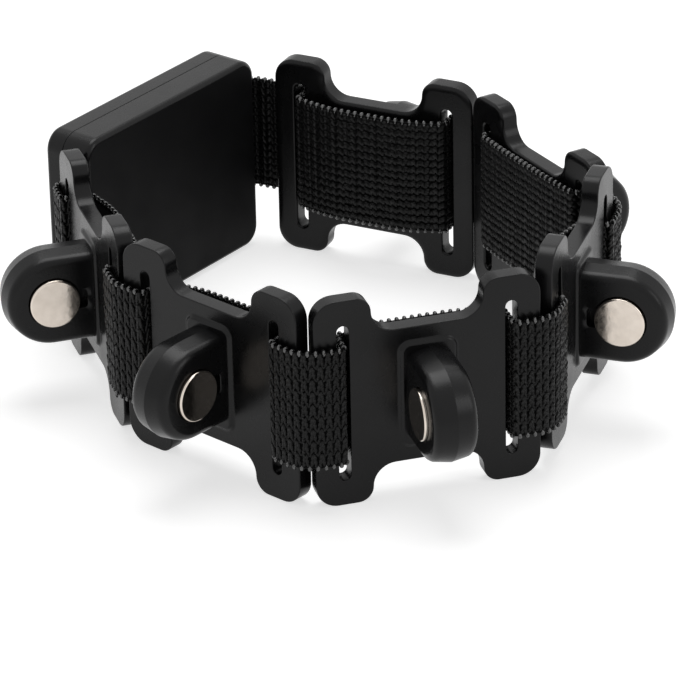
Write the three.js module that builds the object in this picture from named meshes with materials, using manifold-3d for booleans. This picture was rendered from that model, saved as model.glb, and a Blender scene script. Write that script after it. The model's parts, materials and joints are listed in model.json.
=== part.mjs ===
// Magnetic hair clip wristband: six moulded link plates and one case on an elastic strap.
// Millimetres, +Z up. The ring stands on its lower edge, open at the top and the bottom.
// In a plate's or the case's own frame x runs along the band, -y points out of the ring
// and z is up. The plane y = 0 holds the case's inner face, and the lines that the plates turn on.

import * as THREE from "three";
import * as BufferGeometryUtils from "three/addons/utils/BufferGeometryUtils.js";
import Module from "manifold-3d";

const wasm = await Module();
wasm.setup();

// Link plate
const linkCount = 6;
const plateLength = 26.4;
const plateHeight = 25.4;
const plateThickness = 2.2;
const plateInside = 0.4;
const plateEndBevel = 0.7;
const plateCornerRadius = 2.6;
const earSpacing = 13;
const earTipRadius = 1.8;
const waistHeight = 16.6;
const slotSpacing = 19.6;
const slotLength = 19.2;

// Lug on each plate, with the magnet that crosses it
const lugThickness = 5.2;
const lugHeight = 11.5;
const lugReach = 10.8;
const lugEdgeRound = 0.7;
const padBorder = 0.65;
const padRise = 0.4;
const padCornerRadius = 0.9;
const linkMagnetDiameter = 6;
const linkMagnetProud = 0.45;
const linkMagnetChamfer = 0.2;
const pocketNotchHeight = 2.4;
const pocketNotchReach = 4;

// Elastic strap
const strapWidth = 15;
const strapThickness = 0.8;
const strapBend = 0.6;
const strapCrown = 4;
const strapBowBend = 15;

// Case with its block magnet
const caseLength = 31.8;
const caseEdgeDrop = 0.3;
const trayDepth = 3.9;
const coverDepth = 2.55;
const partingGap = 0.15;
const caseWall = 1.4;
const caseCornerRadius = 2.4;
const caseEdgeRound = 0.7;
const caseBend = 2;
const strapTailLength = 5.5;
const blockMagnetInset = 2;
const blockMagnetCorner = 1;

// Fits
const clearance = 0.3;
const plateGap = 0.2;
const strapShownFirst = 0.1;
const strapShownLast = 5.2;

// Fold of the band in degrees at each joint, from the case round to the case again
const restFoldDegrees = [54.6, 30.9, 58.8, 55.2, 49.2, 33.2, 78.1];

// From the first plate to the last: the height that the plate has slid up the strap,
// the height that the strap itself has risen, and how far it bows away from the plate
const restLifts = [0, 0, 0, 1.3, 0, 0];
const strapRises = [0, 0, 0, 0, 1.2, 0.9];
const strapBows = [1.4, 1.4, 1.4, 1.4, 0.3, 1.4];

// Steps on a quarter circle, on a rounded edge and on a magnet's full circle
const arcSteps = 6;
const edgeSteps = 2;
const roundSteps = 24;

// Points closer than this are one point, and the ring is closed in this many rounds
const samePoint = 1e-4;
const closingRounds = 12;

// Sizes that follow from those above
const caseHeight = plateHeight - 2 * caseEdgeDrop;
const slotWidth = strapThickness + 2 * clearance;
const waistFillet = (plateHeight - waistHeight) / 2 - earTipRadius;
const plateOutside = plateThickness - plateInside;
const strapLine = plateOutside + clearance + strapThickness / 2;
const strapInside = plateInside + clearance + strapThickness / 2;
const caseDepth = trayDepth + partingGap + coverDepth;
const blockMagnetHeight = caseHeight - 2 * (caseWall + blockMagnetInset);
const caseStrapLine = trayDepth - clearance - strapThickness / 2;
const lugRadius = lugHeight / 2;
const magnetReach = plateOutside + lugReach - lugRadius;

const blackPlastic = { color: 0x1d1d1f, roughness: 0.5, metalness: 0 };
const blackElastic = { color: 0x151516, roughness: 0.85, metalness: 0 };
const nickel = { color: 0xcfc7bd, roughness: 0.22, metalness: 1 };

// Solids

function solidOf(geometry) {
  const bare = geometry.clone();
  bare.deleteAttribute("normal");
  bare.deleteAttribute("uv");
  const merged = BufferGeometryUtils.mergeVertices(bare, samePoint);
  const vertProperties = new Float32Array(merged.attributes.position.array);
  const triVerts = new Uint32Array(merged.index.array);
  return new wasm.Manifold(new wasm.Mesh({ numProp: 3, vertProperties, triVerts }));
}

function geometryOf(solid) {
  const mesh = solid.getMesh();
  const geometry = new THREE.BufferGeometry();
  geometry.setAttribute("position", new THREE.BufferAttribute(mesh.vertProperties, 3));
  geometry.setIndex(new THREE.BufferAttribute(mesh.triVerts, 1));
  geometry.computeVertexNormals();
  return geometry;
}

function piece(name, geometry, finish) {
  const mesh = new THREE.Mesh(geometry, new THREE.MeshStandardMaterial(finish));
  mesh.name = name;
  return mesh;
}

function block(length, depth, height, x, y) {
  return new THREE.BoxGeometry(length, depth, height).translate(x, y, 0);
}

// A shape drawn in length and height, made thick from the plane y = 0 outwards
function extrudeOutwards(shape, depth, edgeRound = 0) {
  const geometry = new THREE.ExtrudeGeometry(shape, {
    depth: depth - 2 * edgeRound,
    steps: 1,
    curveSegments: arcSteps,
    bevelEnabled: edgeRound > 0,
    bevelThickness: edgeRound,
    bevelSize: edgeRound,
    bevelOffset: -edgeRound,
    bevelSegments: edgeSteps,
  });
  return geometry.translate(0, 0, edgeRound).rotateX(Math.PI / 2);
}

function roundedRectangle(length, height, radius) {
  const x = length / 2 - radius;
  const z = height / 2 - radius;
  const shape = new THREE.Shape();
  shape.absarc(x, z, radius, 0, Math.PI / 2);
  shape.absarc(-x, z, radius, Math.PI / 2, Math.PI);
  shape.absarc(-x, -z, radius, Math.PI, 1.5 * Math.PI);
  shape.absarc(x, -z, radius, 1.5 * Math.PI, 2 * Math.PI);
  shape.closePath();
  return shape;
}

function roundEndedSlot(width, length, x) {
  const path = new THREE.Path();
  const end = (length - width) / 2;
  path.absarc(x, end, width / 2, 0, Math.PI);
  path.absarc(x, -end, width / 2, Math.PI, 2 * Math.PI);
  path.closePath();
  return path;
}

// Link plate: four ears, a waist notch above and below, and a slot near each end

function plateShape() {
  const x = plateLength / 2;
  const z = plateHeight / 2;
  const corner = plateCornerRadius;
  const ear = earSpacing / 2;
  const waist = waistHeight / 2;
  const tip = earTipRadius;
  const upper = new THREE.Path();
  upper.absarc(x - corner, z - corner, corner, 0, Math.PI / 2);
  upper.absarc(ear + tip, z - tip, tip, Math.PI / 2, Math.PI);
  upper.absarc(ear - waistFillet, waist + waistFillet, waistFillet, 0, -Math.PI / 2, true);
  upper.absarc(waistFillet - ear, waist + waistFillet, waistFillet, -Math.PI / 2, -Math.PI, true);
  upper.absarc(-ear - tip, z - tip, tip, 0, Math.PI / 2);
  upper.absarc(corner - x, z - corner, corner, Math.PI / 2, Math.PI);
  const half = upper.getPoints(arcSteps / 2);
  const shape = new THREE.Shape([...half, ...half.map((point) => point.clone().negate())]);
  for (const side of [-1, 1]) {
    shape.holes.push(roundEndedSlot(slotWidth, slotLength, (side * slotSpacing) / 2));
  }
  return shape;
}

// The lug's outline seen along the band: x outwards, y up
function lugShape() {
  const shape = new THREE.Shape();
  shape.moveTo(plateOutside / 2, -lugRadius);
  shape.lineTo(magnetReach, -lugRadius);
  shape.absarc(magnetReach, 0, lugRadius, -Math.PI / 2, Math.PI / 2);
  shape.lineTo(plateOutside / 2, lugRadius);
  shape.closePath();
  return shape;
}

// The magnet's pocket: round, with a notch towards the plate
function pocketShape() {
  const radius = linkMagnetDiameter / 2 + clearance;
  const notchHalf = pocketNotchHeight / 2;
  const turn = Math.PI - Math.asin(notchHalf / radius);
  const shape = new THREE.Shape();
  shape.absarc(magnetReach, 0, radius, -turn, 0);
  shape.absarc(magnetReach, 0, radius, 0, turn);
  shape.lineTo(magnetReach - pocketNotchReach, notchHalf);
  shape.lineTo(magnetReach - pocketNotchReach, -notchHalf);
  shape.closePath();
  return shape;
}

// A shape drawn outwards and up, made thick along the band about x = 0
function extrudeAlongBand(shape, thickness, edgeRound = 0) {
  const geometry = extrudeOutwards(shape, thickness, edgeRound);
  return geometry.rotateZ(-Math.PI / 2).translate(thickness / 2, 0, 0);
}

// What is cut off the inner edge at one end of a plate
function endBevel(side) {
  const width = Math.SQRT2 * plateEndBevel;
  const geometry = new THREE.BoxGeometry(width, width, 2 * plateHeight).rotateZ(Math.PI / 4);
  return solidOf(geometry.translate((side * plateLength) / 2, plateInside, 0));
}

function linkPlate() {
  const padWidth = lugThickness + 2 * padBorder;
  const padShape = roundedRectangle(padWidth, lugHeight + 2 * padBorder, padCornerRadius);
  const plateGeometry = extrudeOutwards(plateShape(), plateThickness);
  const fullPlate = solidOf(plateGeometry.translate(0, plateInside, 0));
  const plate = fullPlate.subtract(endBevel(-1)).subtract(endBevel(1));
  const padGeometry = extrudeOutwards(padShape, plateOutside / 2 + padRise);
  const pad = solidOf(padGeometry.translate(0, -plateOutside / 2, 0));
  const lug = solidOf(extrudeAlongBand(lugShape(), lugThickness, lugEdgeRound));
  const pocket = solidOf(extrudeAlongBand(pocketShape(), 2 * lugThickness));
  return geometryOf(plate.add(pad).add(lug).subtract(pocket));
}

function linkMagnet() {
  const radius = linkMagnetDiameter / 2;
  const half = lugThickness / 2 + linkMagnetProud;
  const chamfer = linkMagnetChamfer;
  const profile = [
    new THREE.Vector2(0, -half),
    new THREE.Vector2(radius - chamfer, -half),
    new THREE.Vector2(radius, chamfer - half),
    new THREE.Vector2(radius, half - chamfer),
    new THREE.Vector2(radius - chamfer, half),
    new THREE.Vector2(0, half),
  ];
  const geometry = new THREE.LatheGeometry(profile, roundSteps);
  return geometry.rotateZ(-Math.PI / 2).translate(0, -magnetReach, 0);
}

// Strap: a flat band that follows a route in plan, with rounded bends

function roundedRoute(corners, bends) {
  const route = [corners[0]];
  for (let i = 1; i < corners.length - 1; i += 1) {
    const back = corners[i - 1].clone().sub(corners[i]).normalize();
    const ahead = corners[i + 1].clone().sub(corners[i]).normalize();
    const half = Math.acos(back.dot(ahead)) / 2;
    const middle = back.clone().add(ahead).normalize();
    const centre = corners[i].clone().addScaledVector(middle, bends[i - 1] / Math.sin(half));
    const start = corners[i].clone().addScaledVector(back, bends[i - 1] / Math.tan(half)).sub(centre);
    const sweep = Math.sign(back.cross(ahead)) * (2 * half - Math.PI);
    for (let step = 0; step <= arcSteps; step += 1) {
      const spoke = start.clone().rotateAround(new THREE.Vector2(), (sweep * step) / arcSteps);
      route.push(spoke.add(centre));
    }
  }
  route.push(corners[corners.length - 1]);
  return route;
}

function strapAlong(corners, bends) {
  const route = roundedRoute(corners, bends);
  const left = [];
  const right = [];
  route.forEach((point, i) => {
    const before = route[Math.max(i - 1, 0)];
    const after = route[Math.min(i + 1, route.length - 1)];
    const side = after.clone().sub(before).normalize().rotateAround(new THREE.Vector2(), Math.PI / 2);
    left.push(point.clone().addScaledVector(side, strapThickness / 2));
    right.unshift(point.clone().addScaledVector(side, -strapThickness / 2));
  });
  const shape = new THREE.Shape([...left, ...right]);
  const settings = { depth: strapWidth, steps: 1, bevelEnabled: false };
  return new THREE.ExtrudeGeometry(shape, settings).translate(0, 0, -strapWidth / 2);
}

function at(x, y) {
  return new THREE.Vector2(x, y);
}

// The same stretch, climbing by the rise between two points in plan
function climbing(geometry, from, to, rise) {
  const way = to.clone().sub(from);
  const places = geometry.attributes.position;
  for (let i = 0; i < places.count; i += 1) {
    const gone = at(places.getX(i), places.getY(i)).sub(from);
    places.setZ(i, places.getZ(i) + (rise * gone.dot(way)) / way.lengthSq());
  }
  return geometry;
}

// Where the strap passes a slot, its inner run and its outer span meet in the middle of the plate
const slotX = slotSpacing / 2;
const slotMiddle = (plateInside - plateOutside) / 2;
const runEnd = slotMiddle + clearance / 2;
const spanEnd = slotMiddle - clearance / 2;

// The stretch inside a plate, from slot to slot, which bows away from the plate
function strapRun(bow) {
  const corners = [
    at(-slotX, runEnd),
    at(-slotX, strapInside),
    at(-slotX / 2, strapInside + bow),
    at(slotX / 2, strapInside + bow),
    at(slotX, strapInside),
    at(slotX, runEnd),
  ];
  return strapAlong(corners, [strapBend, strapBowBend, strapBowBend, strapBend]);
}

// The stretch over the outside of two end bars, drawn in the first plate's frame
function strapSpan(fold, rise) {
  const half = (plateLength + plateGap) / 2;
  const pivot = at(half, 0);
  const turned = (x, y) => at(x + half, y).rotateAround(at(0, 0), fold).add(pivot);
  const corners = [
    at(slotX, spanEnd),
    at(slotX, -strapLine),
    at(half + strapLine * Math.tan(fold / 2), -strapLine),
    turned(-slotX, -strapLine),
    turned(-slotX, spanEnd),
  ];
  const level = strapAlong(corners, [strapBend, strapCrown, strapBend]);
  return climbing(level, corners[1], corners[3], rise);
}

// The stretch from inside the case to the first plate, drawn in the case's frame
function strapFromCase(fold) {
  const mouth = at(caseLength / 2 + strapLine, -caseStrapLine);
  const start = plateLength / 2 + strapShownFirst;
  const turned = (x, y) => at(x + start, y + strapLine).rotateAround(at(0, 0), fold).add(mouth);
  const corners = [
    at(caseLength / 2 - caseWall - strapTailLength, -caseStrapLine),
    mouth,
    turned(-slotX, -strapLine),
    turned(-slotX, spanEnd),
  ];
  return strapAlong(corners, [caseBend, strapBend]);
}

// The stretch from the last plate into the case, drawn in the last plate's frame
function strapIntoCase(fold) {
  const mouth = at(plateLength / 2 + strapShownLast, -strapLine);
  const tail = strapLine + caseWall + strapTailLength;
  const corners = [
    at(slotX, spanEnd),
    at(slotX, -strapLine),
    mouth,
    at(tail, 0).rotateAround(at(0, 0), fold).add(mouth),
  ];
  return strapAlong(corners, [strapBend, caseBend]);
}

// Case: a tray on the wrist's side, a cover outside, and a mouth for the strap in each end wall

function caseBlock() {
  const shape = roundedRectangle(caseLength, caseHeight, caseCornerRadius);
  return solidOf(extrudeOutwards(shape, caseDepth, caseEdgeRound));
}

function caseCavity() {
  const radius = Math.max(caseCornerRadius - caseWall, caseEdgeRound);
  const shape = roundedRectangle(caseLength - 2 * caseWall, caseHeight - 2 * caseWall, radius);
  return solidOf(extrudeOutwards(shape, caseDepth - 2 * caseWall).translate(0, -caseWall, 0));
}

function caseTray() {
  const beyond = 2 * (trayDepth + partingGap + coverDepth);
  const upTo = -trayDepth - beyond / 2;
  const outside = solidOf(block(2 * caseLength, beyond, 2 * caseHeight, 0, upTo));
  const mouthDepth = 2 * (strapThickness / 2 + clearance);
  const mouthHeight = strapWidth + 2 * (strapRises.at(-1) + clearance);
  const mouth = solidOf(block(2 * caseLength, mouthDepth, mouthHeight, 0, -caseStrapLine));
  return geometryOf(caseBlock().subtract(caseCavity()).subtract(outside).subtract(mouth));
}

function caseCover() {
  const beyond = 2 * (trayDepth + partingGap);
  const inside = solidOf(block(2 * caseLength, beyond, 2 * caseHeight, 0, 0));
  return geometryOf(caseBlock().subtract(caseCavity()).subtract(inside));
}

function caseMagnet() {
  const length = caseLength - 2 * (caseWall + strapTailLength + clearance);
  const depth = caseDepth - 2 * (caseWall + clearance);
  const shape = roundedRectangle(length, blockMagnetHeight, blockMagnetCorner);
  return extrudeOutwards(shape, depth).translate(0, -caseWall - clearance, 0);
}

// Ring: the folds are eased evenly until the chain of pieces closes on itself

const caseSide = at(caseLength + 2 * strapLine, 0);
const firstSide = at(plateLength + strapShownFirst + plateGap / 2, strapLine);
const middleSide = at(plateLength + plateGap, 0);
const lastSide = at(plateLength + strapShownLast + plateGap / 2, -strapLine);
const sides = [caseSide, firstSide, ...Array(linkCount - 2).fill(middleSide), lastSide];

function closedFolds(firstGuess) {
  let folds = firstGuess.map(THREE.MathUtils.degToRad);
  for (let round = 0; round < closingRounds; round += 1) {
    const joints = [];
    const end = at(0, 0);
    let heading = 0;
    sides.forEach((side, i) => {
      end.add(side.clone().rotateAround(at(0, 0), heading));
      joints.push(end.clone());
      heading += folds[i];
    });
    const rows = joints.map((joint) => new THREE.Vector3(joint.y - end.y, end.x - joint.x, 1));
    const miss = new THREE.Vector3(-end.x, -end.y, 2 * Math.PI - heading);
    const sum = (a, b) => rows.reduce((total, row) => total + row[a] * row[b], 0);
    const normal = new THREE.Matrix3().set(
      sum("x", "x"), sum("x", "y"), sum("x", "z"),
      sum("y", "x"), sum("y", "y"), sum("y", "z"),
      sum("z", "x"), sum("z", "y"), sum("z", "z"),
    );
    const share = miss.applyMatrix3(normal.invert());
    folds = folds.map((fold, i) => fold + rows[i].dot(share));
  }
  return folds;
}

const folds = closedFolds(restFoldDegrees);

function turnedGroup(x, y, fold) {
  const group = new THREE.Group();
  group.position.set(x, y, 0);
  group.rotation.z = fold;
  return group;
}

const band = new THREE.Group();
band.add(piece("case_tray", caseTray(), blackPlastic));
band.add(piece("case_cover", caseCover(), blackPlastic));
band.add(piece("case_magnet", caseMagnet(), nickel));
band.add(piece("strap_span_1", strapFromCase(folds[0]), blackElastic));

const plateGeometry = linkPlate();
const magnetGeometry = linkMagnet();
let carrier = band;
for (let number = 1; number <= linkCount; number += 1) {
  const fold = folds[number - 1];
  const first = number === 1;
  const last = number === linkCount;
  const joint = first
    ? turnedGroup(caseLength / 2 + strapLine, -caseStrapLine, fold)
    : turnedGroup((plateLength + plateGap) / 2, 0, fold);
  const link = first
    ? turnedGroup(plateLength / 2 + strapShownFirst, strapLine, 0)
    : turnedGroup((plateLength + plateGap) / 2, 0, 0);
  const lifted = new THREE.Group();
  lifted.position.z = restLifts[number - 1];
  lifted.add(piece(`link_plate_${number}`, plateGeometry, blackPlastic));
  lifted.add(piece(`link_magnet_${number}`, magnetGeometry, nickel));
  link.add(lifted);
  const strap = new THREE.Group();
  strap.position.z = strapRises[number - 1];
  const run = strapRun(strapBows[number - 1]);
  strap.add(piece(`strap_run_${number}`, run, blackElastic));
  if (last) {
    strap.add(piece("strap_tail", strapIntoCase(folds[number]), blackElastic));
  } else {
    const rise = strapRises[number] - strapRises[number - 1];
    strap.add(piece(`strap_span_${number + 1}`, strapSpan(folds[number], rise), blackElastic));
  }
  link.add(strap);
  joint.add(link);
  carrier.add(joint);
  carrier = link;
}

// The band stands on the plane z = 0 with its middle over the origin
const room = new THREE.Box3().setFromObject(band, true);
const middle = room.getCenter(new THREE.Vector3());
band.position.set(-middle.x, -middle.y, -room.min.z);

export default band;
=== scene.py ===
# Looks of the magnetic hair clip wristband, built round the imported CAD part.
# Shapes are drawn in millimetres in the frame of their plate or of the case (x along the band,
# y into the ring, z up) and placed in the scene in metres. At y = 0 lie the lines that a plate
# turns on, and the inner face of the case.

import json
import math

import bmesh
import bpy
import numpy as np
from mathutils import Matrix, Vector


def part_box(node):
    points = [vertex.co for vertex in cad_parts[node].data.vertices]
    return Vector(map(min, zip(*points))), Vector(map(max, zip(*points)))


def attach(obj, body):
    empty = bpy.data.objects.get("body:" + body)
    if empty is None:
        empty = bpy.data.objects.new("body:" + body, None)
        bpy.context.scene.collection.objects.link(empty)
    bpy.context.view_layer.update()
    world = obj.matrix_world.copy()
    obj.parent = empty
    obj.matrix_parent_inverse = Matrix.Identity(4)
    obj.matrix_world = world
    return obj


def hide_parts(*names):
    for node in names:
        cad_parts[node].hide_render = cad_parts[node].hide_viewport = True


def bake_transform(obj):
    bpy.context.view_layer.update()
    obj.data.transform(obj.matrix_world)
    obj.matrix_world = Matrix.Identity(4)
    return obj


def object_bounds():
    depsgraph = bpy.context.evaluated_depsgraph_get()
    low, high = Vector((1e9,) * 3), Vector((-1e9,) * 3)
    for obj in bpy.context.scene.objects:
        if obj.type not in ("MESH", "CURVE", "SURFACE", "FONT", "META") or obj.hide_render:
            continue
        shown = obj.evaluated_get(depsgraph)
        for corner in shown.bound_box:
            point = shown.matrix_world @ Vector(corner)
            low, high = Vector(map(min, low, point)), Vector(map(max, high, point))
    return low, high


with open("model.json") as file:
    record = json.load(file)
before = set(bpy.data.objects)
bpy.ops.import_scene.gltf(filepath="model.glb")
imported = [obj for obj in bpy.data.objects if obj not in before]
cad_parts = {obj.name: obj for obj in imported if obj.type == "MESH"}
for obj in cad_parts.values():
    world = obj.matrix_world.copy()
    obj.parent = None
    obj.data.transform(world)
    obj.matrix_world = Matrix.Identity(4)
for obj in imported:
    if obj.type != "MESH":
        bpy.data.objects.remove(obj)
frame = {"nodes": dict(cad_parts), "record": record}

cad_low, cad_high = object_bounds()

MM = 0.001
LINKS = range(1, 7)

# Link plate, with its edges on the inner face as width and depth
PLATE_LENGTH = 26.4
PLATE_HEIGHT = 25.4
PLATE_INSIDE = 0.4
PLATE_OUTSIDE = 1.8
PLATE_CORNER = 2.6
PLATE_EDGE_INSIDE = (0.9, 0.35)
PLATE_EDGE_OUTSIDE = 0.14
EAR_SPACING = 13.0
EAR_TIP = 1.8
WAIST_HEIGHT = 16.6
WAIST_FILLET = (PLATE_HEIGHT - WAIST_HEIGHT) / 2 - EAR_TIP
SLOT_X = 9.8
SLOT_LENGTH = 19.2
SLOT_WIDTH = 1.4
SLOT_EDGE_INSIDE = (0.3, 0.3)
SLOT_EDGE_OUTSIDE = 0.12

# Lug, the magnet that crosses it, and the pad with its profile as spread and rise
LUG_THICKNESS = 5.2
LUG_RADIUS = 5.75
LUG_EDGE = 1.0
LUG_DRAFT = 0.28
LUG_WITNESS = 0.05
MAGNET_REACH = 6.85
MAGNET_RADIUS = 3.0
MAGNET_HALF = 3.05
MAGNET_EDGE = 0.22
POCKET_RADIUS = 3.06
POCKET_EDGE = 0.08
POCKET_DEPTH = 1.5
NOTCH_HEIGHT = 2.4
NOTCH_REACH = 3.95
NOTCH_CORNER = 0.4
PAD_WIDTH = 6.5
PAD_HEIGHT = 12.8
PAD_CORNER = 1.15
PAD_PROFILE = [(0.42, -0.4), (0.42, 0.0), (0.26, 0.02), (0.14, 0.07), (0.05, 0.15),
               (-0.01, 0.23), (-0.09, 0.31), (-0.2, 0.37), (-0.36, 0.4)]

# Case
CASE_LENGTH = 31.8
CASE_HEIGHT = 24.8
CASE_DEPTH = 6.6
TRAY_DEPTH = 3.9
PARTING_GAP = 0.05
PARTING_EDGE = 0.07
CASE_WALL = 1.4
CASE_CORNER = 2.4
CASE_EDGE = 0.7
MOUTH_DEPTH = 1.4
MOUTH_HEIGHT = 17.4
MOUTH_CORNER = MOUTH_DEPTH / 4
CASE_STRAP_LINE = 3.2
BROAD_FACE = 0.99

# Strap and its route
STRAP_HALF_WIDTH = 7.5
STRAP_THICKNESS = 0.8
STRAP_LINE = 2.5
STRAP_INSIDE = 1.1
STRAP_BEND = 0.6
STRAP_CROWN = 4.0
STRAP_BOWS = {1: 1.4, 2: 1.4, 3: 1.4, 4: 1.4, 5: 0.3, 6: 1.4}
STRAP_BOW_BEND = 15.0
CASE_BEND = 2.0
STRAP_TAIL = 5.5
STRAP_RISES = {1: 0.0, 2: 0.0, 3: 0.0, 4: 0.0, 5: 1.2, 6: 0.9}
STRAP_SHOWN_FIRST = 0.1
STRAP_SHOWN_LAST = 5.2
PLATE_GAP = 0.2
PIVOT_X = (PLATE_LENGTH + PLATE_GAP) / 2

# Knit of the strap, on its face towards the wrist and on its outer face
STITCH_LENGTH = 0.9
STITCH_STEPS = 12
INSIDE, OUTSIDE = 1, -1
BOTH = [INSIDE, OUTSIDE]
ROW_COUNT = {INSIDE: 15, OUTSIDE: 9}
ROW_FIRST = {INSIDE: 6.5, OUTSIDE: 6.2}
ROW_PITCH = {INSIDE: 0.93, OUTSIDE: 1.55}
ROW_RISE = {INSIDE: 0.09, OUTSIDE: 0.78}
ROW_DROP = {INSIDE: 0.1, OUTSIDE: 0.88}
ROW_SQUARE = {INSIDE: 0.8, OUTSIDE: 1.6}
ROW_LEAN = 0.07
YARN_SIDES = 6
YARN_HALF_WIDTH = {INSIDE: 0.44, OUTSIDE: 0.225}
YARN_HALF_HEIGHT = 0.15
YARN_MIDDLE = {INSIDE: 0.17, OUTSIDE: 0.15}
YARN_SWAY = {INSIDE: 0.07, OUTSIDE: 0.1}
YARN_JITTER = 0.04
LOOP_HALF_WIDTH = 0.21
LOOP_HALF_HEIGHT = 0.17
LOOP_STEPS = 8
LOOP_SIDES = 8
LOOP_LEG = 0.45
LOOP_TUCK = 0.3
RIM_HALF = 0.26
RIM_DEPTH = 0.34
CORE_HALF = 0.08
CORE_HALF_WIDTH = 7.1
CORE_STEP = 0.2
KNIT_SEED = 11
YARN, RUBBER, SELVEDGE = range(3)

# Fineness of the meshes
ARC_STEPS = 10
NOSE_STEPS = 3 * ARC_STEPS
SIDE_STEPS = ARC_STEPS // 2
NOTCH_CORNER_STEPS = 3
EDGE_STEPS = 4
WIDE_EDGE_STEPS = 6
PARTING_STEPS = 3
CIRCLE_STEPS = 64
BEND_STEPS = 16
ROUTE_STEP = 0.05
SAME_POINT = 1e-6
SHARP_DEGREES = 40

# Points of a slot's ring at its top and at its bottom
SLOT_TOP = ARC_STEPS // 2
SLOT_BOTTOM = SLOT_TOP + ARC_STEPS + 1


# Rows of vectors

def unit(vectors):
    return vectors / np.linalg.norm(vectors, axis=-1, keepdims=True)


def left_of(ways):
    return np.column_stack([-ways[:, 1], ways[:, 0]])


def distances(points):
    """How far each point lies along the line through all of them."""
    return np.concatenate([[0], np.cumsum(np.linalg.norm(np.diff(points, axis=0), axis=1))])


# Outlines, as arrays of points in anticlockwise order

def arc(centre, radius, start, end, steps=ARC_STEPS):
    angles = np.radians(np.linspace(start, end, steps + 1))
    across = centre[0] + radius * np.cos(angles)
    up = centre[1] + radius * np.sin(angles)
    return np.column_stack([across, up])


def inset(loop, distance):
    """The loop moved to its inner side by distance."""
    after = left_of(unit(np.roll(loop, -1, axis=0) - loop))
    before = np.roll(after, 1, axis=0)
    share = distance / (1 + np.sum(before * after, axis=1))
    return loop + (before + after) * share[:, None]


def rounded_rectangle(length, height, radius):
    x = length / 2 - radius
    z = height / 2 - radius
    corners = [(x, z, 0), (-x, z, 90), (-x, -z, 180), (x, -z, 270)]
    return np.vstack([arc((cx, cz), radius, start, start + 90) for cx, cz, start in corners])


def edge_profile(radius, steps=EDGE_STEPS):
    """Steps of a rounded edge from the face to the wall: how far in, and how deep."""
    angles = [math.pi / 2 * i / steps for i in range(steps + 1)]
    return [(radius * (1 - math.sin(a)), radius * (1 - math.cos(a))) for a in angles]


# Closed meshes from rings of points

class Shell:
    """Rings of points joined by walls and closed by caps."""

    def __init__(self):
        self.points = []
        self.faces = []

    def ring(self, points):
        start = len(self.points)
        self.points.extend(tuple(point) for point in points)
        return list(range(start, len(self.points)))

    def wall(self, first, second):
        for i in range(len(first)):
            j = (i + 1) % len(first)
            self.faces.append((first[i], first[j], second[j], second[i]))

    def walls(self, rings):
        for first, second in zip(rings, rings[1:]):
            self.wall(first, second)

    def cap(self, ring):
        self.faces.append(tuple(ring))

    def close(self, rings):
        """Walls between the rings, and a cap on the first and on the last."""
        self.walls(rings)
        self.cap(rings[0])
        self.cap(rings[-1])

    def mesh(self, name):
        mesh = bpy.data.meshes.new(name)
        mesh.from_pydata([Vector(point) * MM for point in self.points], [], self.faces)
        tidy = bmesh.new()
        tidy.from_mesh(mesh)
        bmesh.ops.recalc_face_normals(tidy, faces=tidy.faces)
        tidy.to_mesh(mesh)
        tidy.free()
        return mesh


def stood(loop, y):
    """A loop drawn in length and height, stood up at depth y."""
    return [(x, y, z) for x, z in loop]


def add_object(name, data):
    added = bpy.data.objects.new(name, data)
    bpy.context.scene.collection.objects.link(added)
    return added


def combined(name, meshes, operation):
    """One closed mesh made of the first and the others."""
    parts = [add_object(f"{name}_{i}", mesh) for i, mesh in enumerate(meshes)]
    for part in parts[1:]:
        modifier = parts[0].modifiers.new(part.name, "BOOLEAN")
        modifier.solver = "EXACT"
        modifier.operation = operation
        modifier.object = part
    graph = bpy.context.evaluated_depsgraph_get()
    result = bpy.data.meshes.new_from_object(parts[0].evaluated_get(graph))
    result.name = name
    for part in parts:
        bpy.data.objects.remove(part)
    return result


def shown(name, pattern, place, material):
    """A copy of a mesh in its place, with smooth shading that stays flat on its flat faces."""
    mesh = pattern.copy()
    mesh.name = name
    mesh.transform(place)
    mesh.shade_smooth()
    mesh.set_sharp_from_angle(angle=math.radians(SHARP_DEGREES))
    mesh.materials.clear()
    mesh.materials.append(material)
    piece = add_object(name, mesh)
    even = piece.modifiers.new("even_faces", "WEIGHTED_NORMAL")
    even.keep_sharp = True
    return piece


# Places of the links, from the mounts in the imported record, and of the case, from its tray

def place_of(along, origin):
    """A frame at origin with x along the band, y into the ring and z up."""
    inward = Vector((-along.y, along.x, 0))
    turn = Matrix((along, inward, Vector((0, 0, 1)))).transposed().to_4x4()
    turn.translation = origin
    return turn


mounts = {mount["name"]: mount for mount in frame["record"]["mounts"]}


def link_place(number):
    ahead = Vector(mounts[f"magnet_{number}_ahead"]["pos_m"])
    behind = Vector(mounts[f"magnet_{number}_behind"]["pos_m"])
    along = (ahead - behind).normalized()
    inward = Vector((-along.y, along.x, 0))
    return place_of(along, (ahead + behind) / 2 + inward * MAGNET_REACH * MM)


tray_low, tray_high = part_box("case_tray")
case_middle = (tray_low + tray_high) / 2
case_origin = Vector((case_middle.x, tray_high.y, case_middle.z))
case_place = place_of(Vector((1, 0, 0)), case_origin)
link_places = {number: link_place(number) for number in LINKS}


def heading(place):
    return math.atan2(place[1][0], place[0][0])


def level(place, rise=0.0):
    """The same place at the strap's own height, which a lifted plate has left."""
    settled = place.copy()
    settled.translation.z = case_origin.z + rise * MM
    return settled


def fold_between(first, second):
    return (heading(second) - heading(first)) % (2 * math.pi)


# Materials, with noise scales in patches per metre and bump depths in metres

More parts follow.
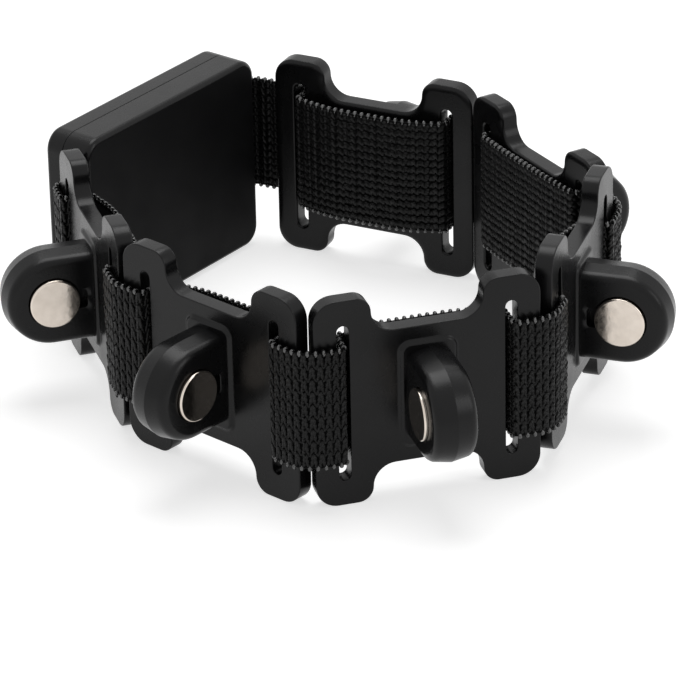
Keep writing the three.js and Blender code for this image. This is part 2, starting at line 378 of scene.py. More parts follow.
NOISE_LOW, NOISE_HIGH = 0.3, 0.7
NOISE_DETAIL = 4.0
PLASTIC_DARK = (0.004, 0.004, 0.0043)
PLASTIC_LIGHT = (0.006, 0.006, 0.0064)
PLASTIC_PATCH_SCALE = 160
PLASTIC_GLOSS_SCALE = 240
GRAIN_SCALE = 7000
GRAIN_DETAIL = 2.0
GRAIN_STRENGTH = 0.12
GRAIN_DEPTH = 0.00004
YARN_PATCH_SCALE = 1500
YARN_GLOSS_SCALE = 3000
PLY_SCALE = 1.0
PLY_DISTORTION = 1.5
PLY_DETAIL = 2.0
PLY_STRENGTH = 0.8
PLY_DEPTH = 0.0001
FLUFF_WEIGHT = 0.05
FLUFF_ROUGHNESS = 0.4
NICKEL_DARK = (0.63, 0.56, 0.49)
NICKEL_LIGHT = (0.69, 0.62, 0.55)
NICKEL_SHINIEST, NICKEL_DULLEST = 0.08, 0.18
NICKEL_PATCH_SCALE = 900
NICKEL_GLOSS_SCALE = 1600
MARK_SCALE = 2600
MARK_STRENGTH = 0.04
MARK_DEPTH = 0.00003
RUBBER_DARK = (0.0015, 0.0015, 0.0016)
RUBBER_LIGHT = (0.003, 0.003, 0.0032)
RUBBER_PATCH_SCALE = 2500
RUBBER_ROUGHNESS = 0.9
RUBBER_SPECULAR = 0.1


def new_material(name):
    material = bpy.data.materials.new(name)
    material.use_nodes = True
    nodes = material.node_tree.nodes
    return material, nodes, material.node_tree.links, nodes["Principled BSDF"]


def noise_between(nodes, links, coordinates, scale, low=0, high=1, detail=NOISE_DETAIL):
    """A noise in object space, spread between two values."""
    noise = nodes.new("ShaderNodeTexNoise")
    noise.inputs["Scale"].default_value = scale
    noise.inputs["Detail"].default_value = detail
    links.new(coordinates, noise.inputs["Vector"])
    spread = nodes.new("ShaderNodeMapRange")
    spread.inputs["From Min"].default_value = NOISE_LOW
    spread.inputs["From Max"].default_value = NOISE_HIGH
    spread.inputs["To Min"].default_value = low
    spread.inputs["To Max"].default_value = high
    links.new(noise.outputs["Fac"], spread.inputs["Value"])
    return spread.outputs["Result"]


def colour_between(nodes, links, share, dark, light):
    mix = nodes.new("ShaderNodeMix")
    mix.data_type = "RGBA"
    mix.inputs["A"].default_value = (*dark, 1)
    mix.inputs["B"].default_value = (*light, 1)
    links.new(share, mix.inputs["Factor"])
    return mix.outputs["Result"]


def bump_from(nodes, links, height, strength, distance):
    bump = nodes.new("ShaderNodeBump")
    bump.inputs["Strength"].default_value = strength
    bump.inputs["Distance"].default_value = distance
    links.new(height, bump.inputs["Height"])
    return bump


def plastic_material(name, dullest, shiniest, specular):
    """Moulded black: a fine spark grain, and faint patches where hands have polished it."""
    material, nodes, links, shader = new_material(name)
    coordinates = nodes.new("ShaderNodeTexCoord").outputs["Object"]
    patches = noise_between(nodes, links, coordinates, PLASTIC_PATCH_SCALE)
    colour = colour_between(nodes, links, patches, PLASTIC_DARK, PLASTIC_LIGHT)
    links.new(colour, shader.inputs["Base Color"])
    gloss = noise_between(nodes, links, coordinates, PLASTIC_GLOSS_SCALE, shiniest, dullest)
    links.new(gloss, shader.inputs["Roughness"])
    grain = noise_between(nodes, links, coordinates, GRAIN_SCALE, detail=GRAIN_DETAIL)
    bump = bump_from(nodes, links, grain, GRAIN_STRENGTH, GRAIN_DEPTH)
    links.new(bump.outputs["Normal"], shader.inputs["Normal"])
    shader.inputs["Specular IOR Level"].default_value = specular
    return material


def yarn_material(name, dark, light, shiniest, dullest, specular, index):
    """Black nylon yarn: twisted plies along each yarn and a little fluff sheen."""
    material, nodes, links, shader = new_material(name)
    source = nodes.new("ShaderNodeTexCoord")
    coordinates = source.outputs["Object"]
    patches = noise_between(nodes, links, coordinates, YARN_PATCH_SCALE)
    colour = colour_between(nodes, links, patches, dark, light)
    links.new(colour, shader.inputs["Base Color"])
    gloss = noise_between(nodes, links, coordinates, YARN_GLOSS_SCALE, shiniest, dullest)
    links.new(gloss, shader.inputs["Roughness"])
    plies = nodes.new("ShaderNodeTexWave")
    plies.bands_direction = "DIAGONAL"
    plies.inputs["Scale"].default_value = PLY_SCALE
    plies.inputs["Distortion"].default_value = PLY_DISTORTION
    plies.inputs["Detail"].default_value = PLY_DETAIL
    links.new(source.outputs["UV"], plies.inputs["Vector"])
    bump = bump_from(nodes, links, plies.outputs["Fac"], PLY_STRENGTH, PLY_DEPTH)
    links.new(bump.outputs["Normal"], shader.inputs["Normal"])
    shader.inputs["Specular IOR Level"].default_value = specular
    shader.inputs["IOR"].default_value = index
    shader.inputs["Sheen Weight"].default_value = FLUFF_WEIGHT
    shader.inputs["Sheen Roughness"].default_value = FLUFF_ROUGHNESS
    return material


def nickel_material():
    """Bright nickel plate with fine handling marks."""
    material, nodes, links, shader = new_material("nickel_plate")
    coordinates = nodes.new("ShaderNodeTexCoord").outputs["Object"]
    patches = noise_between(nodes, links, coordinates, NICKEL_PATCH_SCALE)
    colour = colour_between(nodes, links, patches, NICKEL_DARK, NICKEL_LIGHT)
    links.new(colour, shader.inputs["Base Color"])
    gloss = noise_between(
        nodes, links, coordinates, NICKEL_GLOSS_SCALE, NICKEL_SHINIEST, NICKEL_DULLEST)
    links.new(gloss, shader.inputs["Roughness"])
    marks = noise_between(nodes, links, coordinates, MARK_SCALE)
    bump = bump_from(nodes, links, marks, MARK_STRENGTH, MARK_DEPTH)
    links.new(bump.outputs["Normal"], shader.inputs["Normal"])
    shader.inputs["Metallic"].default_value = 1
    return material


def rubber_material():
    """The rubber threads between the stitches, dull and darker than the yarn."""
    material, nodes, links, shader = new_material("rubber_threads")
    coordinates = nodes.new("ShaderNodeTexCoord").outputs["Object"]
    patches = noise_between(nodes, links, coordinates, RUBBER_PATCH_SCALE)
    colour = colour_between(nodes, links, patches, RUBBER_DARK, RUBBER_LIGHT)
    links.new(colour, shader.inputs["Base Color"])
    shader.inputs["Roughness"].default_value = RUBBER_ROUGHNESS
    shader.inputs["Specular IOR Level"].default_value = RUBBER_SPECULAR
    return material


plastic = plastic_material("satin_black_plastic", dullest=0.32, shiniest=0.22, specular=0.215)
matt_plastic = plastic_material("matt_black_plastic", dullest=0.6, shiniest=0.5, specular=0.093)
elastic = yarn_material(
    "black_elastic_yarn", dark=(0.002,) * 3, light=(0.005,) * 3,
    shiniest=0.28, dullest=0.45, specular=0.18, index=1.5,
)
selvedge = yarn_material(
    "black_selvedge_yarn", dark=(0.005,) * 3, light=(0.01,) * 3,
    shiniest=0.14, dullest=0.24, specular=0.75, index=1.65,
)
rubber = rubber_material()
nickel = nickel_material()


# Link plate with rounded edges, its slots, its pad and its lug

def plate_outline():
    """The plate's outline, and where on its upper half the lines through the slots cross it."""
    x = PLATE_LENGTH / 2 - PLATE_CORNER
    z = PLATE_HEIGHT / 2
    ear = EAR_SPACING / 2
    turn = WAIST_HEIGHT / 2 + WAIST_FILLET
    right = [arc((x, z - PLATE_CORNER), PLATE_CORNER, 0, 90)]
    middle = [
        arc((ear + EAR_TIP, z - EAR_TIP), EAR_TIP, 90, 180),
        arc((ear - WAIST_FILLET, turn), WAIST_FILLET, 0, -90),
        arc((WAIST_FILLET - ear, turn), WAIST_FILLET, -90, -180),
        arc((-ear - EAR_TIP, z - EAR_TIP), EAR_TIP, 0, 90),
    ]
    left = [arc((-x, z - PLATE_CORNER), PLATE_CORNER, 90, 180)]
    upper = np.vstack([*right, [(SLOT_X, z)], *middle, [(-SLOT_X, z)], *left])
    keep = np.linalg.norm(upper - np.roll(upper, 1, axis=0), axis=1) > SAME_POINT
    upper = upper[keep]
    crossings = []
    for slot in (SLOT_X, -SLOT_X):
        crossings.append(int(np.argmin(np.linalg.norm(upper - (slot, z), axis=1))))
    return np.vstack([upper, -upper]), crossings


def slot_outline(x):
    end = (SLOT_LENGTH - SLOT_WIDTH) / 2
    upper = arc((x, end), SLOT_WIDTH / 2, 0, 180)
    lower = arc((x, -end), SLOT_WIDTH / 2, 180, 360)
    return np.vstack([upper, lower])


def rounded_rings(shell, loop, edge_inside, edge_outside, sign):
    """Rings of a wall through the plate, with a rounded edge at its inner and its outer face."""
    width, depth = edge_inside
    steps = edge_profile(1, WIDE_EDGE_STEPS)
    inner = [(sign * width * way_in, PLATE_INSIDE - depth * deep) for way_in, deep in steps]
    steps = edge_profile(edge_outside)
    outer = [(sign * way_in, deep - PLATE_OUTSIDE) for way_in, deep in reversed(steps)]
    rings = [shell.ring(stood(inset(loop, way_in), y)) for way_in, y in inner + outer]
    shell.walls(rings)
    return rings[0], rings[-1]


def near_side(slot):
    """The half of a slot's ring that faces the right, from its top round to its bottom."""
    return slot[SLOT_TOP::-1] + slot[:SLOT_BOTTOM - 1:-1]


def far_side(slot):
    """The half of a slot's ring that faces the left, from its bottom round to its top."""
    return slot[SLOT_TOP:SLOT_BOTTOM + 1][::-1]


def plate_mesh():
    shell = Shell()
    outline, (right, left) = plate_outline()
    half = len(outline) // 2
    outer_faces = rounded_rings(shell, outline, PLATE_EDGE_INSIDE, PLATE_EDGE_OUTSIDE, 1)
    right_faces, left_faces = [
        rounded_rings(shell, slot_outline(x), SLOT_EDGE_INSIDE, SLOT_EDGE_OUTSIDE, -1)
        for x in (SLOT_X, -SLOT_X)
    ]
    for rim, right_slot, left_slot in zip(outer_faces, right_faces, left_faces):
        shell.cap(rim[half + left:] + rim[:right + 1] + near_side(right_slot))
        shell.cap(rim[right:left + 1] + near_side(left_slot)
                  + rim[half + right:half + left + 1] + far_side(right_slot))
        shell.cap(rim[left:half + right + 1] + far_side(left_slot))
    return shell.mesh("plate")


def pad_mesh():
    shell = Shell()
    loop = rounded_rectangle(PAD_WIDTH, PAD_HEIGHT, PAD_CORNER)
    rings = []
    for spread, rise in PAD_PROFILE:
        rings.append(shell.ring(stood(inset(loop, -spread), -PLATE_OUTSIDE - rise)))
    shell.close(rings)
    return shell.mesh("pad")


def lug_loop(way_in):
    """The lug's outline, outwards and up: a half circle that runs on straight into the plate."""
    radius = LUG_RADIUS - way_in
    root = PLATE_OUTSIDE / 2
    nose = arc((MAGNET_REACH, 0), radius, -90, 90, NOSE_STEPS)
    upper = np.linspace((MAGNET_REACH, radius), (root, radius), SIDE_STEPS + 1)[1:]
    back = np.linspace((root, radius), (root, -radius), ARC_STEPS + 1)[1:]
    lower = np.linspace((root, -radius), (MAGNET_REACH, -radius), SIDE_STEPS + 1)[1:-1]
    return np.vstack([nose, upper, back, lower])


def pocket_loop(radius, grown, notch_reach):
    """The magnet's pocket with as many points as the lug, with a notch towards the plate."""
    half = NOTCH_HEIGHT / 2 + grown
    turn = math.degrees(math.asin(half / radius))
    corner = (MAGNET_REACH - notch_reach + NOTCH_CORNER, half - NOTCH_CORNER)
    centre = (MAGNET_REACH, 0)
    nose = arc(centre, radius, -90, 90, NOSE_STEPS)
    upper = arc(centre, radius, 90, 180 - turn, SIDE_STEPS)[1:]
    upper_corner = arc(corner, NOTCH_CORNER, 90, 180, NOTCH_CORNER_STEPS)
    lower_corner = upper_corner[::-1] * (1, -1)
    lower = upper[::-1] * (1, -1)
    middle = [(MAGNET_REACH - notch_reach, 0)]
    return np.vstack([nose, upper, upper_corner, middle, lower_corner, lower])


def lug_mesh():
    """The lug as one closed tunnel: through the pocket on both sides and back over the outside."""
    half = LUG_THICKNESS / 2
    below_edge = half - LUG_EDGE
    rim = [(way_in + LUG_DRAFT, half - deep) for way_in, deep in edge_profile(LUG_EDGE)]
    rim = rim + [(LUG_DRAFT * LUG_WITNESS / below_edge, LUG_WITNESS)]
    mouth = POCKET_RADIUS + POCKET_EDGE
    side = [
        (pocket_loop(MAGNET_RADIUS, 0, MAGNET_RADIUS), half - POCKET_DEPTH),
        (pocket_loop(POCKET_RADIUS, 0, NOTCH_REACH), half - POCKET_DEPTH),
        (pocket_loop(POCKET_RADIUS, 0, NOTCH_REACH), half - POCKET_EDGE),
        (pocket_loop(mouth, POCKET_EDGE, NOTCH_REACH + POCKET_EDGE), half),
    ]
    side = side + [(lug_loop(way_in), x) for way_in, x in rim]
    loops = side + [(lug_loop(0), 0.0)] + [(loop, -x) for loop, x in reversed(side)]
    shell = Shell()
    rings = [shell.ring([(x, -out, up) for out, up in loop]) for loop, x in loops]
    shell.walls(rings + rings[:1])
    return shell.mesh("lug")


def magnet_mesh():
    steps = edge_profile(MAGNET_EDGE)
    edge = [(MAGNET_RADIUS - way_in, MAGNET_HALF - deep) for way_in, deep in steps]
    profile = edge + [(radius, -x) for radius, x in reversed(edge)]
    shell = Shell()
    rings = []
    for radius, x in profile:
        circle = arc((-MAGNET_REACH, 0), radius, 0, 360, CIRCLE_STEPS)[:-1]
        rings.append(shell.ring([(x, y, z) for y, z in circle]))
    shell.close(rings)
    return shell.mesh("magnet")


link_mesh = combined("link", [plate_mesh(), pad_mesh(), lug_mesh()], "UNION")
disc_mesh = magnet_mesh()
for number in LINKS:
    body = f"link_{number}"
    link = shown(f"moulded_link_{number}", link_mesh, link_places[number], plastic)
    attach(link, body)
    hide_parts(f"link_plate_{number}")
    disc = shown(f"disc_magnet_{number}", disc_mesh, link_places[number], nickel)
    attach(disc, body)
    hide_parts(f"link_magnet_{number}")


# Case: a tray and a cover with rounded edges, a parting groove and a mouth at each end

def case_half(name, face, rim, floor):
    """A shallow cup whose closed face is at depth face and whose rim is at the parting line."""
    way = math.copysign(1, rim - face)
    loop = rounded_rectangle(CASE_LENGTH, CASE_HEIGHT, CASE_CORNER)
    steps = edge_profile(CASE_EDGE, WIDE_EDGE_STEPS)
    outside = [(way_in, face + way * deep) for way_in, deep in steps]
    steps = edge_profile(PARTING_EDGE, PARTING_STEPS)
    lip = [(way_in, rim - way * deep) for way_in, deep in reversed(steps)]
    inside = [(CASE_WALL, rim), (CASE_WALL, floor)]
    shell = Shell()
    rings = [shell.ring(stood(inset(loop, way_in), y)) for way_in, y in outside + lip + inside]
    shell.close(rings)
    return shell.mesh(name)


def matt_faces(piece):
    """The broad faces of the case are moulded duller than its walls."""
    piece.data.materials.append(matt_plastic)
    for face in piece.data.polygons:
        if abs(face.normal.y) > BROAD_FACE:
            face.material_index = 1


def mouth_mesh(end):
    """The block of air where the strap goes through an end wall, open at the parting line."""
    shell = Shell()
    loop = rounded_rectangle(2 * MOUTH_DEPTH, MOUTH_HEIGHT, MOUTH_CORNER)
    middle = MOUTH_DEPTH / 2 - CASE_STRAP_LINE - MOUTH_DEPTH
    places = [end * (CASE_LENGTH / 2 + side * 2 * CASE_WALL) for side in (-1, 1)]
    shell.close([shell.ring([(x, y + middle, z) for y, z in loop]) for x in places])
    return shell.mesh("mouth")


tray_cup = case_half("tray", 0.0, -TRAY_DEPTH, -CASE_WALL)
tray_mesh = combined("case_tray_shell", [tray_cup, mouth_mesh(-1), mouth_mesh(1)], "DIFFERENCE")
tray = shown("moulded_case_tray", tray_mesh, case_place, plastic)
matt_faces(tray)
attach(tray, "case")
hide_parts("case_tray")
cover_mesh = case_half("cover", -CASE_DEPTH, -TRAY_DEPTH - PARTING_GAP, CASE_WALL - CASE_DEPTH)
cover = shown("moulded_case_cover", cover_mesh, case_place, plastic)
matt_faces(cover)
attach(cover, "case")
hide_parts("case_cover")
block = frame["nodes"]["case_magnet"]
block.data.materials.clear()
block.data.materials.append(nickel)


# Strap: knitted flat along x, then laid along its route

class Route:
    """A line in plan through corners with round bends, measured along its length."""

    def __init__(self, corners, bends):
        points = [np.array(corners[0], float)]
        for before, corner, after, bend in zip(corners, corners[1:], corners[2:], bends):
            points.extend(self.bend(*np.array([before, corner, after], float), bend))
        points.append(np.array(corners[-1], float))
        rough = np.array(points)
        at = distances(rough)
        self.length = at[-1]
        self.at = np.linspace(0, self.length, int(self.length / ROUTE_STEP) + 1)
        self.points = np.column_stack([np.interp(self.at, at, rough[:, i]) for i in range(2)])
        self.ways = unit(np.gradient(self.points, self.at, axis=0))

    @staticmethod
    def bend(before, corner, after, radius):
        """Points of the round bend that takes the place of a corner."""
        back = (before - corner) / np.linalg.norm(before - corner)
        ahead = (after - corner) / np.linalg.norm(after - corner)
        half = math.acos(back @ ahead) / 2
        middle = (back + ahead) / np.linalg.norm(back + ahead)
        centre = corner + middle * radius / math.sin(half)
        spoke = corner + back * radius / math.tan(half) - centre
        sweep = math.copysign(math.pi - 2 * half, -(back[0] * ahead[1] - back[1] * ahead[0]))
        for angle in np.linspace(0, sweep, BEND_STEPS + 1):
            c, s = math.cos(angle), math.sin(angle)
            yield centre + np.array([c * spoke[0] - s * spoke[1], s * spoke[0] + c * spoke[1]])

    def sample(self, along):
        """Points of the route at these lengths, and its directions there."""
        point = np.column_stack([np.interp(along, self.at, self.points[:, i]) for i in range(2)])
        way = np.column_stack([np.interp(along, self.at, self.ways[:, i]) for i in range(2)])
        return point, unit(way)

    def laid(self, flat):
        """Points of the flat strap (along, to the left, up) laid along the route."""
        point, way = self.sample(flat[:, 0])
        return np.column_stack([point + left_of(way) * flat[:, 1:2], flat[:, 2]])

    def turned(self, normals, along):
        """Normals of the flat strap, turned with the route at these lengths."""
        _, way = self.sample(along)
        plan = way * normals[:, 0:1] + left_of(way) * normals[:, 1:2]
        return np.column_stack([plan, normals[:, 2]])


class Knit:
    """Yarns of the flat strap, with their normals, faces and coordinates along the yarn."""

    def __init__(self):
        self.points = []
        self.normals = []
        self.coordinates = []
        self.faces = []
        self.kinds = []
        self.count = 0

    def add(self, grid, normals, coordinates, kind):
        """Rings of points along a yarn, closed at both ends."""
        steps, sides = grid.shape[:2]
        index = np.arange(steps * sides).reshape(steps, sides) + self.count
        turned = np.roll(index, -1, axis=1)
        quads = np.stack([index[:-1], index[1:], turned[1:], turned[:-1]], axis=2).reshape(-1, 4)
        self.faces.extend(map(tuple, quads.tolist()))
        self.faces.append(tuple(index[0].tolist()))
        self.faces.append(tuple(index[-1][::-1].tolist()))
        self.kinds.extend([kind] * (len(quads) + 2))
        self.points.append(grid.reshape(-1, 3))
        self.normals.append(normals.reshape(-1, 3))
        self.coordinates.append(coordinates.reshape(-1, 2))
        self.count += steps * sides

    def tube(self, path, facing, half_width, half_height, kind=YARN, sides=YARN_SIDES):
        """A yarn along a path, with its flatter side towards facing."""
        way = unit(np.gradient(path, axis=0))
        across = unit(np.cross(way, facing))
        out = np.cross(across, way)
        angles = np.arange(sides) * 2 * math.pi / sides - math.pi / 2
        c, s = np.cos(angles)[None, :, None], np.sin(angles)[None, :, None]
        spread = across[:, None] * c * half_width + out[:, None] * s * half_height
        normals = unit(across[:, None] * c / half_width + out[:, None] * s / half_height)
        gone = distances(path)[:, None]
        round_yarn = np.arange(sides)[None, :] / sides
        coordinates = np.stack(np.broadcast_arrays(gone, round_yarn), axis=2)
        self.add(path[:, None] + spread, normals, coordinates, kind)

    def row(self, length, stitches, side, height, rng):
        """One row of stitches: a yarn that goes up and down along the strap."""
        turns = np.linspace(0.5, stitches + 0.5, stitches * STITCH_STEPS + 1)
        wave = np.cos(2 * math.pi * turns)
        legs = np.tanh(ROW_SQUARE[side] * wave) / math.tanh(ROW_SQUARE[side])
        middle = (ROW_RISE[side] - ROW_DROP[side]) / 2
        swing = (ROW_RISE[side] + ROW_DROP[side]) / 2
        knots = np.arange(stitches + 2)
        ease = np.sqrt(np.maximum(np.sin(math.pi * (turns - 0.5) / stitches), 0))
        drift_up, drift_out = [
            np.interp(turns, knots, rng.normal(0, YARN_JITTER, stitches + 2)) * ease
            for _ in range(2)
        ]
        up = height + middle - swing * legs + drift_up
        out = side * (YARN_MIDDLE[side] - YARN_SWAY[side] * wave + drift_out / 2)
        lean = ROW_LEAN * np.sin(2 * math.pi * turns)
        along = (turns - 0.5 + lean) * length / stitches
        path = np.column_stack([along, out, up])
        self.tube(path, np.array([0.0, side, 0.0]), YARN_HALF_WIDTH[side], YARN_HALF_HEIGHT)

    def selvedge(self, length, stitches, edge):
        """Loops over one edge of the strap, round a cord that fills the edge."""
        line = np.linspace(0, length, 2 * stitches + 1)
        height = edge * (STRAP_HALF_WIDTH - RIM_HALF - RIM_DEPTH)
        cord = np.column_stack([line, 0 * line, 0 * line + height])
        self.tube(cord, np.array([0.0, 1.0, 0.0]), RIM_HALF, RIM_HALF, RUBBER)
        angles = np.linspace(0, math.pi, LOOP_STEPS - 1)
        reach = STRAP_THICKNESS / 2 - LOOP_HALF_HEIGHT
        top = STRAP_HALF_WIDTH - LOOP_HALF_HEIGHT
        over = np.column_stack([reach * np.cos(angles), top - reach + reach * np.sin(angles)])
        legs = [(side * reach * LOOP_TUCK, top - LOOP_LEG) for side in (1, -1)]
        profile = np.vstack([legs[:1], over, legs[1:]]) * (1, edge)
        facing = np.array([1.0, 0.0, 0.0])
        for i in range(stitches):
            along = (i + 0.5) * length / stitches
            path = np.column_stack([np.full(len(profile), along), profile])
            self.tube(path, facing, LOOP_HALF_HEIGHT, LOOP_HALF_WIDTH, SELVEDGE, LOOP_SIDES)

    def core(self, length):
        """The dark inner sheet of rubber threads that shows between the stitches."""
        line = np.linspace(0, length, max(int(length / CORE_STEP), 2) + 1)
        edge = CORE_HALF_WIDTH - CORE_HALF
        section = np.array([
            (CORE_HALF, -edge), (0, -CORE_HALF_WIDTH), (-CORE_HALF, -edge),
            (-CORE_HALF, edge), (0, CORE_HALF_WIDTH), (CORE_HALF, edge),
        ])
        ways = unit(section / (CORE_HALF, CORE_HALF_WIDTH))
        grid = np.array([[(x, y, z) for y, z in section] for x in line])
        normals = np.array([[(0, y, z) for y, z in ways] for _ in line])
        self.add(grid, normals, grid[:, :, [0, 2]], RUBBER)

    def mesh(self, name, route, start, place, climb):
        """The yarns laid along the route from start on, in the scene's frame."""
        flat = np.vstack(self.points)
        flat[:, 2] += np.interp(flat[:, 0], (0, flat[:, 0].max()), climb)
        flat[:, 0] += start
        turn = np.array(place)
        points = route.laid(flat) * MM @ turn[:3, :3].T + turn[:3, 3]
        normals = route.turned(np.vstack(self.normals), flat[:, 0]) @ turn[:3, :3].T
        mesh = bpy.data.meshes.new(name)
        mesh.from_pydata(points.tolist(), [], self.faces)
        mesh.shade_smooth()
        corners = np.zeros(len(mesh.loops), np.int32)
        mesh.loops.foreach_get("vertex_index", corners)
        layer = mesh.uv_layers.new(name="yarn")
        coordinates = np.vstack(self.coordinates)[corners].astype(np.float32)
        layer.data.foreach_set("uv", coordinates.ravel())
        mesh.normals_split_custom_set_from_vertices(normals.tolist())
        for material in (elastic, rubber, selvedge):
            mesh.materials.append(material)
        mesh.polygons.foreach_set("material_index", np.array(self.kinds, np.int32))
        return mesh


rng = np.random.default_rng(KNIT_SEED)


def knitted(name, route, start, end, place, faces, climb=(0.0, 0.0)):
    """A stretch of strap from start to end of its route, with stitches on the named faces."""
    length = end - start
    stitches = max(round(length / STITCH_LENGTH), 1)
    knit = Knit()
    knit.core(length)
    for side in faces:
        for row in range(ROW_COUNT[side]):
            knit.row(length, stitches, side, ROW_FIRST[side] - row * ROW_PITCH[side], rng)
    for edge in (1, -1):
        knit.selvedge(length, stitches, edge)
    piece = add_object(name, knit.mesh(name, route, start, place, climb))
    return piece


def scene_point(place, point):
    """A point in plan of a place's frame, in the scene."""
    return place @ Vector((point[0] * MM, point[1] * MM, 0))


slot_middle = (PLATE_INSIDE - PLATE_OUTSIDE) / 2


def turned_corner(point, fold, pivot, shift=(0.0, 0.0)):
    """A point of the next piece's frame, seen from the frame before the fold."""
    x, y = point[0] + shift[0], point[1] + shift[1]
    c, s = math.cos(fold), math.sin(fold)
    return (pivot[0] + c * x - s * y, pivot[1] + s * x + c * y)


def run_route(bow):
    corners = [
        (-SLOT_X, slot_middle),
        (-SLOT_X, STRAP_INSIDE),
        (-SLOT_X / 2, STRAP_INSIDE + bow),
        (SLOT_X / 2, STRAP_INSIDE + bow),
        (SLOT_X, STRAP_INSIDE),
        (SLOT_X, slot_middle),
    ]
    return Route(corners, [STRAP_BEND, STRAP_BOW_BEND, STRAP_BOW_BEND, STRAP_BEND])


def span_route(fold):
    pivot = shift = (PIVOT_X, 0.0)
    corners = [
        (SLOT_X, slot_middle),
        (SLOT_X, -STRAP_LINE),
        (PIVOT_X + STRAP_LINE * math.tan(fold / 2), -STRAP_LINE),
        turned_corner((-SLOT_X, -STRAP_LINE), fold, pivot, shift),
        turned_corner((-SLOT_X, slot_middle), fold, pivot, shift),
    ]
    return Route(corners, [STRAP_BEND, STRAP_CROWN, STRAP_BEND]), corners


def route_from_case(fold):
    mouth = (CASE_LENGTH / 2 + STRAP_LINE, -CASE_STRAP_LINE)
    shift = (PLATE_LENGTH / 2 + STRAP_SHOWN_FIRST, STRAP_LINE)
    corners = [
        (CASE_LENGTH / 2 - CASE_WALL - STRAP_TAIL, -CASE_STRAP_LINE),
        mouth,
        turned_corner((-SLOT_X, -STRAP_LINE), fold, mouth, shift),
        turned_corner((-SLOT_X, slot_middle), fold, mouth, shift),
    ]
    return Route(corners, [CASE_BEND, STRAP_BEND]), corners


def route_into_case(fold):
    mouth = (PLATE_LENGTH / 2 + STRAP_SHOWN_LAST, -STRAP_LINE)
    tail = STRAP_LINE + CASE_WALL + STRAP_TAIL
    corners = [
        (SLOT_X, slot_middle),
        (SLOT_X, -STRAP_LINE),
        mouth,
        turned_corner((tail, 0.0), fold, mouth),
    ]
    return Route(corners, [STRAP_BEND, CASE_BEND])


# Inside each plate, from slot to slot
for number in LINKS:
    route = run_route(STRAP_BOWS[number])
    place = level(link_places[number], STRAP_RISES[number])
    run = knitted(f"knit_run_{number}", route, 0, route.length, place, [INSIDE])
    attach(run, f"link_{number}")
    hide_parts(f"strap_run_{number}")

# From the case to the first link, in two pieces: straight up to the bend, then from the bend on
first_fold = fold_between(case_place, link_places[1])
first_route, first_corners = route_from_case(first_fold)
bend_reach = CASE_BEND * math.tan(first_fold / 2)
bend_start = first_corners[1][0] - first_corners[0][0] - bend_reach
stretched = knitted("knit_span_1_first", first_route, 0, bend_start, case_place, BOTH)
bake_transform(stretched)
bent = knitted("knit_span_1_last", first_route, bend_start, first_route.length, case_place, BOTH)
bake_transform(bent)
for piece in (stretched, bent):
    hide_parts("strap_span_1")

# Over each joint between two links, in two pieces: up to the crown, then from the crown on
for number in LINKS[1:]:
    before, after = link_places[number - 1], link_places[number]
    place = level(before)
    route, corners = span_route(fold_between(before, after))
    crown = route.length / 2
    crown_point = scene_point(place, route.sample(np.array([crown]))[0][0])
    rise_before, rise_after = STRAP_RISES[number - 1], STRAP_RISES[number]
    rise_crown = (rise_before + rise_after) / 2
    lower, upper = (rise_before, rise_crown), (rise_crown, rise_after)
    stretched = knitted(f"knit_span_{number}_first", route, 0, crown, place, [OUTSIDE], lower)
    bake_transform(stretched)
    bent = knitted(f"knit_span_{number}_last", route, crown, route.length, place, [OUTSIDE], upper)
    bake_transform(bent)
    for piece in (stretched, bent):
        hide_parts(f"strap_span_{number}")

# From the last link into the case, where the strap slides; this piece is attached to the last link
tail_route = route_into_case(fold_between(link_places[6], case_place))
tail_place = level(link_places[6], STRAP_RISES[6])
tail = knitted("knit_tail", tail_route, 0, tail_route.length, tail_place, BOTH)
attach(tail, "link_6")
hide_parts("strap_tail")


# Stage: a pale floor, a white surrounding, and soft light from behind and above and from the right

FLOOR_SIZE = 3.0
FLOOR_DROP = 0.00002
FLOOR_GREY = 0.7
FLOOR_ROUGHNESS = 0.9
FLOOR_LIFT = 0.66
WORLD_LIGHT = 0.25
WORLD_SEEN = 1.0


def white_where_seen(nodes, links):
    """One where the camera, a reflection or a clear body looks."""
    path = nodes.new("ShaderNodeLightPath")
    seen = path.outputs["Is Camera Ray"]
    for output in ("Is Glossy Ray", "Is Transmission Ray"):
        joined = nodes.new("ShaderNodeMath")
        joined.operation = "MAXIMUM"
        links.new(seen, joined.inputs[0])
        links.new(path.outputs[output], joined.inputs[1])
        seen = joined.outputs["Value"]
    return seen


def make_floor():
    floor_mesh = bpy.data.meshes.new("floor")
    half = FLOOR_SIZE / 2
    corners = [(-half, -half, 0), (half, -half, 0), (half, half, 0), (-half, half, 0)]
    floor_mesh.from_pydata(corners, [], [range(4)])
    floor = add_object("floor", floor_mesh)
    floor.location.z = cad_low.z - FLOOR_DROP
    material, nodes, links, shader = new_material("pale_floor")
    shader.inputs["Base Color"].default_value = (FLOOR_GREY, FLOOR_GREY, FLOOR_GREY, 1)
    shader.inputs["Roughness"].default_value = FLOOR_ROUGHNESS
    shader.inputs["Specular IOR Level"].default_value = 0.0
    shader.inputs["Emission Color"].default_value = (1, 1, 1, 1)
    lift = nodes.new("ShaderNodeMath")
    lift.operation = "MULTIPLY"
    lift.inputs[1].default_value = FLOOR_LIFT
    links.new(white_where_seen(nodes, links), lift.inputs[0])
    links.new(lift.outputs["Value"], shader.inputs["Emission Strength"])
    floor_mesh.materials.append(material)


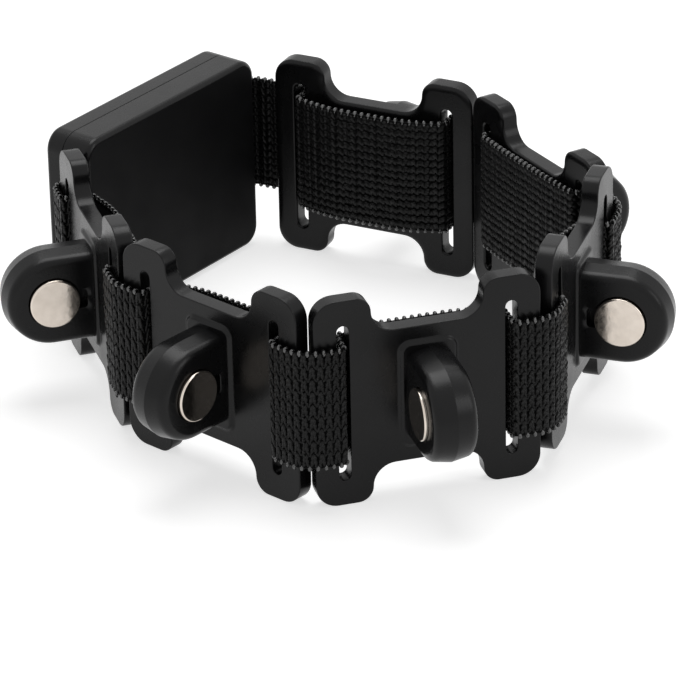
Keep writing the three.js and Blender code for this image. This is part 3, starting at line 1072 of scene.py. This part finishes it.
def make_world():
    world = bpy.data.worlds.new("studio")
    bpy.context.scene.world = world
    world.use_nodes = True
    nodes, links = world.node_tree.nodes, world.node_tree.links
    background = nodes["Background"]
    background.inputs["Color"].default_value = (1, 1, 1, 1)
    strength = nodes.new("ShaderNodeMapRange")
    strength.inputs["To Min"].default_value = WORLD_LIGHT
    strength.inputs["To Max"].default_value = WORLD_SEEN
    links.new(white_where_seen(nodes, links), strength.inputs["Value"])
    links.new(strength.outputs["Result"], background.inputs["Strength"])


def softbox(name, position, width, height, power):
    """A rectangular lamp that is turned to the origin."""
    light = bpy.data.lights.new(name, "AREA")
    light.shape = "RECTANGLE"
    light.size = width
    light.size_y = height
    light.energy = power
    lamp = add_object(name, light)
    lamp.location = position
    lamp.rotation_euler = (-Vector(position)).to_track_quat("-Z", "Y").to_euler()


make_floor()
make_world()
softbox("overhead", position=(-0.14, -0.11, 0.6), width=0.42, height=0.42, power=2.1)
softbox("right", position=(-0.1, 0.55, 0.3), width=0.2, height=0.3, power=0.45)

# Camera at the photograph's angle and in its frame
CAMERA_ELEVATION = math.radians(26.78)
CAMERA_AZIMUTH = math.radians(37.78)
CAMERA_ROLL = math.radians(1.24)
CAMERA_DISTANCE = 546.2 * MM
CAMERA_TARGET = Vector((13.243, 8.287, 12.7)) * MM
FOCAL_PIXELS = 4809.3
IMAGE_PIXELS = 680
SENSOR_WIDTH = 36.0
CLIP_NEAR, CLIP_FAR = 0.01, 10


def make_camera():
    back = Vector((
        math.cos(CAMERA_ELEVATION) * math.cos(CAMERA_AZIMUTH),
        math.cos(CAMERA_ELEVATION) * math.sin(CAMERA_AZIMUTH),
        math.sin(CAMERA_ELEVATION),
    ))
    level_right = Vector((-math.sin(CAMERA_AZIMUTH), math.cos(CAMERA_AZIMUTH), 0))
    level_up = back.cross(level_right)
    right = level_right * math.cos(CAMERA_ROLL) - level_up * math.sin(CAMERA_ROLL)
    up = level_up * math.cos(CAMERA_ROLL) + level_right * math.sin(CAMERA_ROLL)
    settings = bpy.data.cameras.new("photo_camera")
    settings.sensor_width = SENSOR_WIDTH
    settings.lens = FOCAL_PIXELS / IMAGE_PIXELS * SENSOR_WIDTH
    settings.clip_start = CLIP_NEAR
    settings.clip_end = CLIP_FAR
    camera = add_object("photo_camera", settings)
    turn = Matrix((right, up, back)).transposed().to_4x4()
    turn.translation = CAMERA_TARGET + back * CAMERA_DISTANCE
    camera.matrix_world = turn
    bpy.context.scene.camera = camera


make_camera()
bpy.context.scene.view_settings.view_transform = "Standard"
